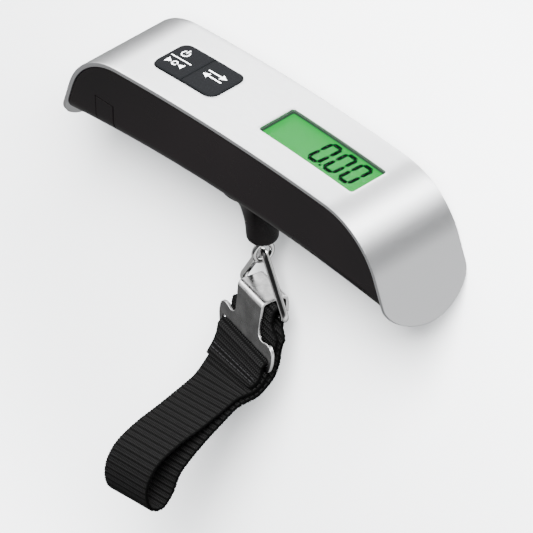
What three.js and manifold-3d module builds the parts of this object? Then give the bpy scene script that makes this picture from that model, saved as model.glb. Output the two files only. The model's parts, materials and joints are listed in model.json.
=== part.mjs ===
// Digital luggage scale: a silver arched grip with two keys and a lit LCD, a black tray with a neck
// under it, a load cell inside, and a swivelling eye that carries a wire ring, a hook plate and a
// webbing loop. Millimetres, +Z up. The origin is the crown of the top cover, +X is the LCD end and
// -Y is the front side.

import * as THREE from "three";
import { mergeVertices } from "three/addons/utils/BufferGeometryUtils.js";
import Module from "manifold-3d";

const wasm = await Module();
wasm.setup();

// Top cover: a curved band, seen from the front as one long arc, two corner arcs and straight ends.
const COVER_WIDTH = 31;
const COVER_HALF_LENGTH = 70;
const COVER_THICKNESS = 1.4;
const TOP_RADIUS = 617;
const END_RADIUS = 23.5;
const END_TILT = THREE.MathUtils.degToRad(19.7);
const END_STRAIGHT = 19.3;
const FLAT_CROWN_HALF = 4;
const TONGUE_SIDE_Z = -25.2;
const TONGUE_DEPTH = 10;
const TONGUE_POWER = 1.8;

// Openings in the cover.
const WINDOW = { x0: 6.9, x1: 44.4, halfWidth: 6.65, corner: 0.8 };
const KEYPAD = { x0: -37.9, x1: -12.3, halfWidth: 7, corner: 3.2 };
const KEY_SEAM_X = -25.3;

// Black tray.
const GAP = 0.3;
const DOOR_GAP = 0.42;
const WALL = 1.6;
const TRAY_WIDTH = 30.4;
const BELLY_MID_Z = -24.8;
const BELLY_BOW = 4.2;
const BELLY_BOW_AT = 66;
const BELLY_CORNER = 6;
const NECK_BORE = 2.4;
const NECK_BOTTOM_Z = -46;

// Inside.
const PCB_TOP_Z = -11;
const PCB_THICKNESS = 1.6;
const CELL_TOP_Z = -16.2;
const CELL_THICKNESS = 4;
const BATTERY_X = -48.6;
const BATTERY_Y = -1;
const BATTERY_RADIUS = 10;
const BATTERY_TOP_Z = -19.7;
const BATTERY_HEIGHT = 3.2;

// Load chain. "Forward" is -Y before the chain is turned about Z by CHAIN_YAW.
const CHAIN_YAW = THREE.MathUtils.degToRad(-12);
const EYE_Z = -50.4;
const EYE_HOLE = 2.2;
const EYE_RIM = 1.5;
const EYE_THICKNESS = 1.6;
const BOLT_RADIUS = 1.95;
const WIRE_RADIUS = 1.1;
const RING_APEX_Z = -49.1;
const RING_BAR_Z = -67.5;
const RING_HALF_BASE = 12.5;
const PLATE_TOP_Z = -62.9;
const PLATE_FRONT = 4.6;
const PLATE_TILT = 0.133;
const PLATE_THICKNESS = 1;
const PLATE_HEIGHT = 19.6;
const HOOK_BACK = -4.2;
const HOOK_LIP_Z = -69.5;
const STRAP_WIDTH = 24.8;
const STRAP_THICKNESS = 1.4;
const STRAP_ROLL = 0.34;

const X_AXIS = new THREE.Vector3(1, 0, 0);
const Y_AXIS = new THREE.Vector3(0, 1, 0);
const Z_AXIS = new THREE.Vector3(0, 0, 1);

const part = new THREE.Group();
const chain = new THREE.Group();
chain.rotation.z = CHAIN_YAW;
part.add(chain);

function finish(color, roughness, metalness = 0) {
  return new THREE.MeshStandardMaterial({ color, roughness, metalness });
}

// ---------------------------------------------------------------- solids and outlines

function solid(geometry) {
  const bare = geometry.clone();
  for (const name of Object.keys(bare.attributes)) {
    if (name !== "position") bare.deleteAttribute(name);
  }
  const merged = mergeVertices(bare, 1e-4);
  return new wasm.Manifold(new wasm.Mesh({
    numProp: 3,
    vertProperties: new Float32Array(merged.attributes.position.array),
    triVerts: new Uint32Array(merged.index.array),
  }));
}

function geometryOf(body) {
  const mesh = body.getMesh();
  const geometry = new THREE.BufferGeometry();
  geometry.setAttribute("position", new THREE.BufferAttribute(mesh.vertProperties, 3));
  geometry.setIndex(new THREE.BufferAttribute(mesh.triVerts, 1));
  return geometry;
}

function add(name, shape, material, parent = part) {
  const geometry = shape.isBufferGeometry ? shape : geometryOf(shape);
  const mesh = new THREE.Mesh(geometry, material);
  mesh.name = name;
  parent.add(mesh);
  return mesh;
}

function polygon(points) {
  return new THREE.Shape(points.map(([x, y]) => new THREE.Vector2(x, y)));
}

function extrude(shape, depth, segments = 8) {
  return new THREE.ExtrudeGeometry(shape, { depth, bevelEnabled: false, curveSegments: segments });
}

// A shape drawn in (x, z), spread from y0 to y1.
function spreadY(shape, y0, y1) {
  const geometry = extrude(shape, y1 - y0);
  geometry.applyMatrix4(new THREE.Matrix4().makeBasis(X_AXIS, Z_AXIS, Y_AXIS.clone().negate()));
  return solid(geometry.translate(0, y1, 0));
}

// A shape drawn in (y, z), spread from x0 to x1.
function spreadX(shape, x0, x1) {
  const geometry = extrude(shape, x1 - x0);
  geometry.applyMatrix4(new THREE.Matrix4().makeBasis(Y_AXIS, Z_AXIS, X_AXIS));
  return solid(geometry.translate(x0, 0, 0));
}

// A shape drawn in (x, y), spread from z0 to z1.
function spreadZ(shape, z0, z1) {
  return solid(extrude(shape, z1 - z0).translate(0, 0, z0));
}

function box(x0, x1, y0, y1, z0, z1) {
  const geometry = new THREE.BoxGeometry(x1 - x0, y1 - y0, z1 - z0);
  return solid(geometry.translate((x0 + x1) / 2, (y0 + y1) / 2, (z0 + z1) / 2));
}

function post(radius, x, y, z0, z1, sides = 20) {
  const geometry = new THREE.CylinderGeometry(radius, radius, z1 - z0, sides);
  return solid(geometry.rotateX(Math.PI / 2).translate(x, y, (z0 + z1) / 2));
}

// A rod along X.
function rodX(radius, x0, x1, y, z, sides = 16) {
  const geometry = new THREE.CylinderGeometry(radius, radius, x1 - x0, sides);
  return solid(geometry.rotateZ(Math.PI / 2).translate((x0 + x1) / 2, y, z));
}

function roundedRectangle(x0, x1, y0, y1, corner) {
  const shape = new THREE.Shape();
  shape.moveTo(x0 + corner, y0);
  shape.lineTo(x1 - corner, y0);
  shape.absarc(x1 - corner, y0 + corner, corner, -Math.PI / 2, 0, false);
  shape.absarc(x1 - corner, y1 - corner, corner, 0, Math.PI / 2, false);
  shape.absarc(x0 + corner, y1 - corner, corner, Math.PI / 2, Math.PI, false);
  shape.absarc(x0 + corner, y0 + corner, corner, Math.PI, Math.PI * 1.5, false);
  return shape;
}

function wire(name, color, points, radius = 0.45) {
  const path = new THREE.CatmullRomCurve3(points.map((p) => new THREE.Vector3(...p)));
  const section = new THREE.Shape().absarc(0, 0, radius, 0, Math.PI * 2, false);
  const geometry = new THREE.ExtrudeGeometry(section, {
    extrudePath: path,
    steps: 10,
    curveSegments: 4,
    bevelEnabled: false,
  });
  add(name, geometry, finish(color, 0.5));
}

// ---------------------------------------------------------------- the arched profile

// Points of the cover's outline in (x, z), from the left tip to the right tip, moved inwards by inset.
function coverOutline(inset) {
  const topEnd = Math.asin(
    (COVER_HALF_LENGTH - END_RADIUS * Math.cos(END_TILT) - END_STRAIGHT * Math.sin(END_TILT)) /
      (TOP_RADIUS - END_RADIUS),
  );
  const cornerEnd = Math.PI / 2 - END_TILT;
  const cornerX = (TOP_RADIUS - END_RADIUS) * Math.sin(topEnd);
  const cornerZ = (TOP_RADIUS - END_RADIUS) * Math.cos(topEnd) - TOP_RADIUS;
  const top = TOP_RADIUS - inset;
  const corner = END_RADIUS - inset;
  const flat = Math.asin(FLAT_CROWN_HALF / TOP_RADIUS);
  const half = [];
  const topSteps = 7;
  for (let i = 0; i <= topSteps; i++) {
    const angle = flat + ((topEnd - flat) * i) / topSteps;
    const rise = i === 0 ? -inset : top * Math.cos(angle) - TOP_RADIUS;
    half.push([top * Math.sin(angle), rise]);
  }
  const cornerSteps = 12;
  for (let i = 1; i <= cornerSteps; i++) {
    const angle = topEnd + ((cornerEnd - topEnd) * i) / cornerSteps;
    half.push([cornerX + corner * Math.sin(angle), cornerZ + corner * Math.cos(angle)]);
  }
  const [x, z] = half[half.length - 1];
  half.push([x + END_STRAIGHT * Math.sin(END_TILT), z - END_STRAIGHT * Math.cos(END_TILT)]);
  const mirrored = half.map(([px, pz]) => [-px, pz]).reverse();
  return [...mirrored, ...half];
}

function bandBetween(outerInset, innerInset, width) {
  const outline = [...coverOutline(outerInset), ...coverOutline(innerInset).reverse()];
  return spreadY(polygon(outline), -width / 2, width / 2);
}

function coverTopZ(x) {
  return TOP_RADIUS * Math.cos(Math.asin(x / TOP_RADIUS)) - TOP_RADIUS;
}

// Seen from the end, the cover narrows below the side walls to a rounded tongue.
function tongueMask() {
  const half = COVER_WIDTH / 2;
  const steps = 12;
  const side = [];
  for (let i = 0; i < steps; i++) {
    const angle = (Math.PI / 2) * (i / steps);
    const y = half * Math.cos(angle) ** (2 / TONGUE_POWER);
    const z = TONGUE_SIDE_Z - TONGUE_DEPTH * Math.sin(angle) ** (2 / TONGUE_POWER);
    side.push([y, z]);
  }
  const tip = [0, TONGUE_SIDE_Z - TONGUE_DEPTH];
  const left = side.map(([y, z]) => [-y, z]);
  const reach = COVER_HALF_LENGTH + 2;
  return spreadX(polygon([[half, 2], [-half, 2], ...left, tip, ...side.reverse()]), -reach, reach);
}

// ---------------------------------------------------------------- fixing points shared by the pieces

const caseScrews = [
  [55, 8.5],
  [55, -8.5],
  [-31.4, 9.7],
  [-31.4, -9.7],
];
const pcbScrews = [
  [-5, 6],
  [-5, -6],
];
const cellScrews = [-21, 21];

function bellyZ(x) {
  return BELLY_MID_Z - BELLY_BOW * (x / BELLY_BOW_AT) ** 2;
}

// ---------------------------------------------------------------- cover

function topCover() {
  let cover = bandBetween(0, COVER_THICKNESS, COVER_WIDTH).intersect(tongueMask());
  const { x0, x1, halfWidth, corner } = WINDOW;
  cover = cover.subtract(spreadZ(roundedRectangle(x0, x1, -halfWidth, halfWidth, corner), -8, 2));
  const pad = KEYPAD;
  const padShape = roundedRectangle(pad.x0, pad.x1, -pad.halfWidth, pad.halfWidth, pad.corner);
  cover = cover.subtract(spreadZ(padShape, -8, 2));
  const roof = spreadY(polygon([[-80, -60], ...coverOutline(COVER_THICKNESS / 2), [80, -60]]), -15, 15);
  for (const [x, y] of caseScrews) {
    const boss = post(1.9, x, y, -18.6, 0).intersect(roof);
    cover = cover.add(boss).subtract(post(1, x, y, -19, -11));
  }
  for (const [x, y] of pcbScrews) {
    const boss = post(2, x, y, PCB_TOP_Z + 0.1, 0).intersect(roof);
    cover = cover.add(boss).subtract(post(0.9, x, y, PCB_TOP_Z - 1, -5));
  }
  return cover;
}

// ---------------------------------------------------------------- tray, neck and battery door

// The tray's section: upright sides and a flat bottom with round corners, bowed along its length.
function bellySweep(inset) {
  const half = TRAY_WIDTH / 2 - inset;
  const corner = BELLY_CORNER - inset;
  const reach = 76;
  const endZ = bellyZ(reach) + inset;
  const middleZ = BELLY_MID_Z + inset;
  const path = new THREE.QuadraticBezierCurve3(
    new THREE.Vector3(-reach, 0, endZ),
    new THREE.Vector3(0, 0, 2 * middleZ - endZ),
    new THREE.Vector3(reach, 0, endZ),
  );
  // The sweep turns the shape's x to -Y and its y to -Z.
  const section = new THREE.Shape();
  section.moveTo(half, -50);
  section.lineTo(half, -corner);
  section.absarc(half - corner, -corner, corner, 0, Math.PI / 2, false);
  section.absarc(corner - half, -corner, corner, Math.PI / 2, Math.PI, false);
  section.lineTo(-half, -50);
  return solid(new THREE.ExtrudeGeometry(section, {
    extrudePath: path,
    steps: 16,
    curveSegments: 8,
    bevelEnabled: false,
  }));
}

function underCover(inset) {
  return spreadY(polygon(coverOutline(inset)), -TRAY_WIDTH / 2, TRAY_WIDTH / 2);
}

// The neck flares out of the belly in one smooth curve and has a rounded foot.
function neckBody() {
  const flare = new THREE.SplineCurve(
    [
      [4.7, -43.8],
      [4.75, -42],
      [4.95, -39.5],
      [5.5, -36.2],
      [6.3, -33],
      [7.6, -30],
      [9.4, -27.4],
      [12, -25.2],
    ].map(([r, z]) => new THREE.Vector2(r, z)),
  );
  const foot = [];
  const rounding = 2.1;
  const steps = 6;
  for (let i = 0; i < steps; i++) {
    const angle = (Math.PI / 2) * (i / steps);
    const r = 4.7 - rounding * (1 - Math.sin(angle));
    foot.push(new THREE.Vector2(r, NECK_BOTTOM_Z + rounding * (1 - Math.cos(angle))));
  }
  const points = [
    new THREE.Vector2(0, NECK_BOTTOM_Z),
    ...foot,
    ...flare.getPoints(18),
    new THREE.Vector2(12, -22.5),
    new THREE.Vector2(0, -22.5),
  ];
  return solid(new THREE.LatheGeometry(points, 44).rotateX(Math.PI / 2));
}

const DOOR = { x0: -60, x1: -37.2, front: -11.4, tabX0: -52.2, tabX1: -45.3, tabTop: -16.1 };
const DOOR_HINGE = { x: -48.6, y: 9.9, z: -23.85, slope: 0.0937, radius: 0.9, knuckle: 3.1 };

// A rod on the hinge's axis, which slopes with the bowed belly; from and to are measured from its middle.
function hingeRod(radius, from, to, sides = 20) {
  const geometry = new THREE.CylinderGeometry(radius, radius, to - from, sides);
  geometry.rotateZ(Math.PI / 2).translate((from + to) / 2, 0, 0).rotateY(-Math.atan(DOOR_HINGE.slope));
  return solid(geometry.translate(DOOR_HINGE.x, DOOR_HINGE.y, DOOR_HINGE.z));
}

// The door's outline: a plate across the belly, a tab up the front side and a round rear knuckle.
// The hinge follows the bow, so the tab swings a little to the right and has more room there.
function doorMask(margin) {
  const x0 = DOOR.x0 - margin;
  const x1 = DOOR.x1 + margin;
  const plate = box(x0, x1, DOOR.front - margin, DOOR_HINGE.y, -40, -20.5);
  const swing = 1.6 * margin;
  const tab = box(DOOR.tabX0 - margin, DOOR.tabX1 + swing, -20, -5, -40, DOOR.tabTop + margin);
  const knuckle = hingeRod(DOOR_HINGE.knuckle + margin, -14, 14, 32).intersect(box(x0, x1, 0, 20, -40, 0));
  return plate.add(tab).add(knuckle);
}

function trayWall() {
  const inset = COVER_THICKNESS + GAP;
  const outer = underCover(inset).intersect(bellySweep(0));
  const inner = underCover(inset + WALL).intersect(bellySweep(WALL));
  return outer.subtract(inner);
}

function bodyShell(wall) {
  const halfInside = TRAY_WIDTH / 2 - WALL;
  let shell = wall.subtract(box(-58.5, 58.5, -halfInside, halfInside, -14, 5));
  shell = shell.add(neckBody().subtract(box(-13, 13, -13, 13, BELLY_MID_Z + WALL, 0)));
  for (const x of cellScrews) {
    shell = shell.add(post(4.4, x, 0, bellyZ(x) + 0.8, CELL_TOP_Z - CELL_THICKNESS - 0.1));
    shell = shell.subtract(post(1.1, x, 0, bellyZ(x) + 1.6, CELL_TOP_Z));
  }
  for (const [x, y] of caseScrews) {
    const seat = post(4.1, x, y, -40, -19).intersect(bellySweep(0)).intersect(underCover(3));
    shell = shell.add(seat);
    shell = shell.subtract(post(2.9, x, y, -40, -21.2)).subtract(post(1.5, x, y, -40, -18));
  }
  shell = shell.subtract(doorMask(DOOR_GAP));
  const { y, z, radius } = DOOR_HINGE;
  for (const [x0, x1] of [[DOOR.x0 - 2.6, DOOR.x0 - 0.6], [DOOR.x1 + 0.6, DOOR.x1 + 2.6]]) {
    const ear = box(x0, x1, y - 2, y + 2.8, z - 4, z + 2.9).intersect(bellySweep(0.4));
    shell = shell.add(ear);
  }
  shell = shell.subtract(hingeRod(radius + 0.25, -13.6, 13.6));
  return shell.subtract(post(NECK_BORE, 0, 0, -50, -15, 32));
}

// Two short hinge pins stand on ribs at the ends of the door, clear of the cell above it.
function batteryDoor(wall) {
  const { x, y, z, slope, radius } = DOOR_HINGE;
  let door = wall.intersect(doorMask(0));
  const pinEnd = 13.2;
  const ribs = [
    [DOOR.x0 + 0.3, DOOR.x0 + 2.6, -pinEnd, -9.2],
    [DOOR.x1 - 2.6, DOOR.x1 - 0.3, 9.2, pinEnd],
  ];
  for (const [x0, x1, from, to] of ribs) {
    const ribZ = z + slope * ((x0 + x1) / 2 - x);
    const rib = box(x0, x1, y - 1.2, y + 1.2, ribZ - 2, ribZ).intersect(bellySweep(0.4));
    door = door.add(rib).add(hingeRod(radius, from, to));
  }
  return door;
}

// ---------------------------------------------------------------- keys

function key(x0, x1, stemX) {
  const { halfWidth, corner } = KEYPAD;
  const clear = 0.25;
  const cap = spreadZ(
    roundedRectangle(KEYPAD.x0 + clear, KEYPAD.x1 - clear, clear - halfWidth, halfWidth - clear, corner),
    -8,
    2,
  );
  const lip = 0.6;
  const skirt = spreadZ(
    roundedRectangle(KEYPAD.x0 - lip, KEYPAD.x1 + lip, -halfWidth - lip, halfWidth + lip, corner + lip),
    -8,
    2,
  );
  const side = box(x0, x1, -12, 12, -9, 3);
  const body = cap.intersect(bandBetween(-0.25, 2.7, COVER_WIDTH));
  const rim = skirt.intersect(bandBetween(COVER_THICKNESS + GAP, 2.7, COVER_WIDTH));
  return body.add(rim).intersect(side).add(post(2, stemX, 0, -6.1, -2.2));
}

function keySwitch(name, x) {
  const top = -7.3;
  const base = box(x - 3, x + 3, -3, 3, PCB_TOP_Z + 0.1, top).subtract(post(2, x, 0, -8.5, top + 1));
  add(`${name}_switch`, base, finish(0x2b2b2d, 0.5));
  add(`${name}_plunger`, post(1.7, x, 0, -7.9, -6.2), finish(0x8a2d22, 0.5));
}

// ---------------------------------------------------------------- display, in the cover's local slope

function display() {
  const middleX = (WINDOW.x0 + WINDOW.x1) / 2;
  const stack = new THREE.Group();
  stack.position.set(middleX, 0, coverTopZ(middleX));
  stack.rotation.y = Math.asin(middleX / TOP_RADIUS);
  part.add(stack);
  const lens = spreadZ(roundedRectangle(5, 46.3, -9.5, 9.5, 1), -8, 2);
  const under = COVER_THICKNESS + 0.1;
  add("lcd_lens", lens.intersect(bandBetween(under, under + 0.6, COVER_WIDTH)), finish(0xdfe8e2, 0.1));
  const frame = box(-21.5, 21.5, -9.5, 9.5, -8.7, -3.1).subtract(box(-20.3, 20.3, -8.7, 8.7, -10, 0));
  add("lcd_frame", frame, finish(0xf0f0ec, 0.6), stack);
  add("lcd_glass", box(-19.4, 19.4, -8.4, 8.4, -4.2, -2.6), finish(0x5fae6c, 0.2), stack);
  add("lcd_backlight", box(-19.4, 19.4, -6.9, 8.2, -8.2, -4.5), finish(0x8fe89c, 0.5), stack);
  add("lcd_connector", box(-18.5, 18.5, -8.4, -7.3, -8.8, -4.5), finish(0xc9a7a0, 0.8), stack);
}

// ---------------------------------------------------------------- electronics

function mainBoard() {
  const outline = polygon([
    [-34.5, -7.2],
    [-28.4, -7.2],
    [-28.4, -8],
    [2, -8],
    [2, -11],
    [48, -11],
    [48, 11],
    [2, 11],
    [2, 8],
    [-28.4, 8],
    [-28.4, 7.2],
    [-34.5, 7.2],
  ]);
  let board = spreadZ(outline, PCB_TOP_Z - PCB_THICKNESS, PCB_TOP_Z);
  for (const [x, y] of pcbScrews) {
    board = board.subtract(post(1.2, x, y, -14, -9));
  }
  return board;
}

function chipBlob() {
  const profile = [];
  const steps = 6;
  for (let i = 0; i <= steps; i++) {
    const angle = (Math.PI / 2) * (i / steps);
    profile.push(new THREE.Vector2(3.4 * Math.cos(angle), 1.5 * Math.sin(angle)));
  }
  const geometry = new THREE.LatheGeometry([new THREE.Vector2(0, 0), ...profile], 24);
  return solid(geometry.rotateX(Math.PI / 2).translate(-5, 0, PCB_TOP_Z + 0.1));
}

// A pan-head screw: its head sits at headZ and its shank runs to tipZ, up or down, with a cross recess.
function screw(x, y, headZ, tipZ, headRadius, shankRadius, headHeight) {
  const up = tipZ > headZ ? 1 : -1;
  const outerZ = headZ - up * headHeight;
  const [low, high] = up > 0 ? [outerZ, headZ] : [headZ, outerZ];
  const head = post(headRadius, x, y, low, high, 24);
  const [shankLow, shankHigh] = up > 0 ? [headZ - 0.2, tipZ] : [tipZ, headZ + 0.2];
  const shank = post(shankRadius, x, y, shankLow, shankHigh, 16);
  const slotLow = up > 0 ? outerZ - 1 : outerZ - 0.8;
  const slotHigh = up > 0 ? outerZ + 0.8 : outerZ + 1;
  const arm = headRadius * 0.6;
  const cross = box(x - arm, x + arm, y - 0.35, y + 0.35, slotLow, slotHigh)
    .add(box(x - 0.35, x + 0.35, y - arm, y + arm, slotLow, slotHigh));
  return head.add(shank).subtract(cross);
}

function loadCell() {
  let bar = box(-27, 27, -6, 6, CELL_TOP_Z - CELL_THICKNESS, CELL_TOP_Z);
  for (const x of cellScrews) {
    bar = bar.subtract(post(1.7, x, 0, -22, -15));
  }
  for (const x of [-10.5, 10.5]) {
    const slot = roundedRectangle(x - 4, x + 4, -2.4, 2.4, 2.3);
    bar = bar.subtract(spreadZ(slot, -22, -15));
  }
  return bar.subtract(post(2.3, 0, 0, -22, -15, 28));
}

function battery() {
  const bottom = BATTERY_TOP_Z - BATTERY_HEIGHT;
  const can = post(BATTERY_RADIUS, BATTERY_X, BATTERY_Y, bottom + 0.5, BATTERY_TOP_Z, 40);
  return can.add(post(BATTERY_RADIUS - 1.2, BATTERY_X, BATTERY_Y, bottom, bottom + 1, 40));
}

// A shallow cup over the cell, flat at the rear where the door's knuckle turns.
function batteryHolder() {
  const rimZ = BATTERY_TOP_Z - 1.7;
  const roofZ = BATTERY_TOP_Z + 1.6;
  const outer = post(11.3, BATTERY_X, BATTERY_Y, rimZ, roofZ, 40);
  const inner = post(10.6, BATTERY_X, BATTERY_Y, rimZ - 2, roofZ - 0.9, 40);
  const exit = box(BATTERY_X + 9, BATTERY_X + 13, -3, 3, rimZ - 2, roofZ - 0.7);
  const rear = box(BATTERY_X - 13, BATTERY_X + 13, 8.8, 13, rimZ - 2, roofZ + 1);
  return outer.subtract(inner).subtract(exit).subtract(rear);
}

function batteryContacts() {
  const x = BATTERY_X;
  const top = BATTERY_TOP_Z;
  const leaf = box(x - 5, x + 5, -2, 2, top + 0.15, top + 0.5);
  add("battery_contact_neg", leaf, finish(0xc9a25a, 0.35, 1));
  const side = box(x + 10.15, x + 10.5, -2.4, 2.4, top - 2.5, top + 0.5);
  const foot = box(x + 10.15, x + 13.6, -2.4, 2.4, top + 0.1, top + 0.5);
  add("battery_contact_pos", side.add(foot), finish(0xc9a25a, 0.35, 1));
}

// ---------------------------------------------------------------- load chain

function eyeBolt() {
  const outer = EYE_HOLE + EYE_RIM;
  const shape = new THREE.Shape().absarc(0, EYE_Z, outer, 0, Math.PI * 2, false);
  shape.holes.push(new THREE.Path().absarc(0, EYE_Z, EYE_HOLE, 0, Math.PI * 2, true));
  const geometry = extrude(shape, EYE_THICKNESS, 14);
  geometry.applyMatrix4(new THREE.Matrix4().makeBasis(Y_AXIS, Z_AXIS, X_AXIS));
  const eye = solid(geometry.translate(-EYE_THICKNESS / 2, 0, 0));
  const shank = post(BOLT_RADIUS, 0, 0, EYE_Z + EYE_HOLE + 0.4, -13, 24);
  return eye.add(shank);
}

function eyeNut() {
  const top = CELL_TOP_Z + 3.2;
  return post(3.9, 0, 0, CELL_TOP_Z + 1, top, 6).subtract(post(BOLT_RADIUS + 0.08, 0, 0, -20, -10, 24));
}

function eyeWasher() {
  return post(4.2, 0, 0, CELL_TOP_Z + 0.1, CELL_TOP_Z + 0.9, 28).subtract(post(2.25, 0, 0, -20, -10, 28));
}

// Bent wire with its two ends meeting in the middle of the base bar.
function wireRing() {
  const joint = 0.2;
  const bend = 3;
  const foot = new THREE.Vector3(RING_HALF_BASE, 0, RING_BAR_Z);
  const apex = new THREE.Vector3(0, 0, RING_APEX_Z);
  const other = new THREE.Vector3(-RING_HALF_BASE, 0, RING_BAR_Z);
  const corners = [foot, apex, other];
  const start = new THREE.Vector3(joint, 0, RING_BAR_Z);
  const end = new THREE.Vector3(-joint, 0, RING_BAR_Z);
  const path = new THREE.CurvePath();
  let from = start;
  corners.forEach((corner, i) => {
    const next = corners[i + 1] ?? end;
    const enter = corner.clone().add(from.clone().sub(corner).setLength(bend));
    const leave = corner.clone().add(next.clone().sub(corner).setLength(bend));
    path.add(new THREE.LineCurve3(from, enter));
    path.add(new THREE.QuadraticBezierCurve3(enter, corner, leave));
    from = leave;
  });
  path.add(new THREE.LineCurve3(from, end));
  const section = new THREE.Shape().absarc(0, 0, WIRE_RADIUS, 0, Math.PI * 2, false);
  return new THREE.ExtrudeGeometry(section, {
    extrudePath: path,
    steps: 72,
    curveSegments: 6,
    bevelEnabled: false,
  });
}

function plateFront(z) {
  return PLATE_FRONT + (PLATE_TOP_Z - z) * PLATE_TILT;
}

// Side view of the folded sheet, as (forward, z): front wall, flange over the ring bar, rear lip.
function sheetProfile() {
  const bottom = PLATE_TOP_Z - PLATE_HEIGHT;
  const bend = 1.9;
  const thick = PLATE_THICKNESS;
  const outer = [[plateFront(bottom), bottom]];
  const inner = [[plateFront(bottom) - thick, bottom]];
  const steps = 5;
  const frontTop = plateFront(PLATE_TOP_Z - bend) - bend;
  const bends = [
    [frontTop, 0, Math.PI / 2],
    [HOOK_BACK + bend, Math.PI / 2, Math.PI],
  ];
  for (const [centre, a0, a1] of bends) {
    for (let i = 0; i <= steps; i++) {
      const angle = a0 + ((a1 - a0) * i) / steps;
      const cos = Math.cos(angle);
      const sin = Math.sin(angle);
      outer.push([centre + bend * cos, PLATE_TOP_Z - bend + bend * sin]);
      inner.push([centre + (bend - thick) * cos, PLATE_TOP_Z - bend + (bend - thick) * sin]);
    }
  }
  outer.push([HOOK_BACK, HOOK_LIP_Z]);
  inner.push([HOOK_BACK + thick, HOOK_LIP_Z]);
  return [...outer, ...inner.reverse()];
}

// Front view of the plate: a narrow tongue above, two ears and the strap slot below.
function plateMask() {
  const z = (drop) => PLATE_TOP_Z - drop;
  const shape = new THREE.Shape();
  shape.moveTo(-6.7, z(-1));
  shape.lineTo(-6.7, z(0));
  shape.lineTo(-6.3, z(9));
  shape.bezierCurveTo(-6.3, z(11), -8.6, z(11.6), -9.8, z(10.9));
  shape.bezierCurveTo(-11.2, z(9.9), -14.6, z(10.6), -14.6, z(14));
  shape.bezierCurveTo(-14.6, z(16.6), -14.2, z(18.4), -13.4, z(PLATE_HEIGHT));
  shape.lineTo(13.4, z(PLATE_HEIGHT));
  shape.bezierCurveTo(14.2, z(18.4), 14.6, z(16.6), 14.6, z(14));
  shape.bezierCurveTo(14.6, z(10.6), 11.2, z(9.9), 9.8, z(10.9));
  shape.bezierCurveTo(8.6, z(11.6), 6.3, z(11), 6.3, z(9));
  shape.lineTo(6.7, z(0));
  shape.lineTo(6.7, z(-1));
  const slot = roundedRectangle(-12.8, 12.8, z(17.6), z(15.4), 0.6);
  shape.holes.push(new THREE.Path(slot.getPoints(3).reverse()));
  return shape;
}

function hookPlate() {
  const points = sheetProfile().map(([forward, z]) => [-forward, z]);
  const sheet = spreadX(polygon(points), -15, 15);
  return sheet.intersect(spreadY(plateMask(), -12, 12));
}

// Centre line of the webbing, as (forward, z), from the ring bar round the loop to the hook plate.
const STRAP_PATH = [
  [0.9, -69.4],
  [2, -74],
  [2.6, -78],
  [3, -82],
  [5, -86.2],
  [9.9, -90.2],
  [19.4, -97.4],
  [28.4, -104],
  [35.6, -111],
  [38.4, -117.4],
  [42, -121.6],
  [45.6, -120.2],
  [46.8, -115.6],
  [45.8, -110],
  [42.2, -105],
  [35.5, -101],
  [28, -98],
  [19.3, -93.4],
  [12.6, -88.9],
  [9.6, -85.9],
  [7.6, -83.1],
];

function smoothStep(value, low, high) {
  const t = THREE.MathUtils.clamp((value - low) / (high - low), 0, 1);
  return t * t * (3 - 2 * t);
}

function bandOutline(path, thickness) {
  const curve = new THREE.SplineCurve(path.map(([f, z]) => new THREE.Vector2(f, z)));
  const steps = 60;
  const left = [];
  const right = [];
  for (let i = 0; i <= steps; i++) {
    const point = curve.getPoint(i / steps);
    const along = curve.getTangent(i / steps);
    left.push([point.x - (along.y * thickness) / 2, point.y + (along.x * thickness) / 2]);
    right.push([point.x + (along.y * thickness) / 2, point.y - (along.x * thickness) / 2]);
  }
  return [...left, ...right.reverse()];
}

function strapLoop() {
  const half = STRAP_WIDTH / 2;
  const flip = ([forward, z]) => [-forward, z];
  let band = spreadX(polygon(bandOutline(STRAP_PATH, STRAP_THICKNESS).map(flip)), -half, half);
  const barEyeHalf = 8.6;
  const taper = polygon([
    [-barEyeHalf, -60],
    [-barEyeHalf, -69.2],
    [-half, -72],
    [-half, -140],
    [half, -140],
    [half, -72],
    [barEyeHalf, -69.2],
    [barEyeHalf, -60],
  ]);
  const plateBarZ = PLATE_TOP_Z - 18.6;
  const plateBarY = -(plateFront(plateBarZ) - PLATE_THICKNESS / 2);
  const barEye = rodX(2.5, -barEyeHalf, barEyeHalf, 0, RING_BAR_Z, 24);
  const plateEye = rodX(2.35, -half, half, plateBarY, plateBarZ, 24);
  band = band.intersect(spreadY(taper, -60, 20)).add(barEye).add(plateEye);
  band = band.subtract(rodX(1.4, -15, 15, 0, RING_BAR_Z, 20));
  band = band.subtract(rodX(1.45, -15, 15, plateBarY, plateBarZ, 20));
  const geometry = geometryOf(band);
  const position = geometry.attributes.position;
  for (let i = 0; i < position.count; i++) {
    const roll = STRAP_ROLL * smoothStep(-position.getY(i), 8, 18);
    position.setZ(i, position.getZ(i) + roll * position.getX(i));
  }
  return geometry;
}

// ---------------------------------------------------------------- assembly

const silver = finish(0xc9cbce, 0.32, 0.9);
const blackGloss = finish(0x1b1b1d, 0.25);
const chrome = finish(0xd8dadc, 0.12, 1);
const steel = finish(0x9fa3a8, 0.35, 1);

const wall = trayWall();
add("top_cover", topCover(), silver);
add("body_shell", bodyShell(wall), blackGloss);
add("battery_door", batteryDoor(wall), blackGloss);
const keyBlack = finish(0x26272a, 0.45);
add("power_button", key(KEYPAD.x0 - 2, KEY_SEAM_X - 0.15, -31.4), keyBlack);
add("unit_button", key(KEY_SEAM_X + 0.15, KEYPAD.x1 + 2, -19.6), keyBlack);
keySwitch("power", -31.4);
keySwitch("unit", -19.6);
display();

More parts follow.
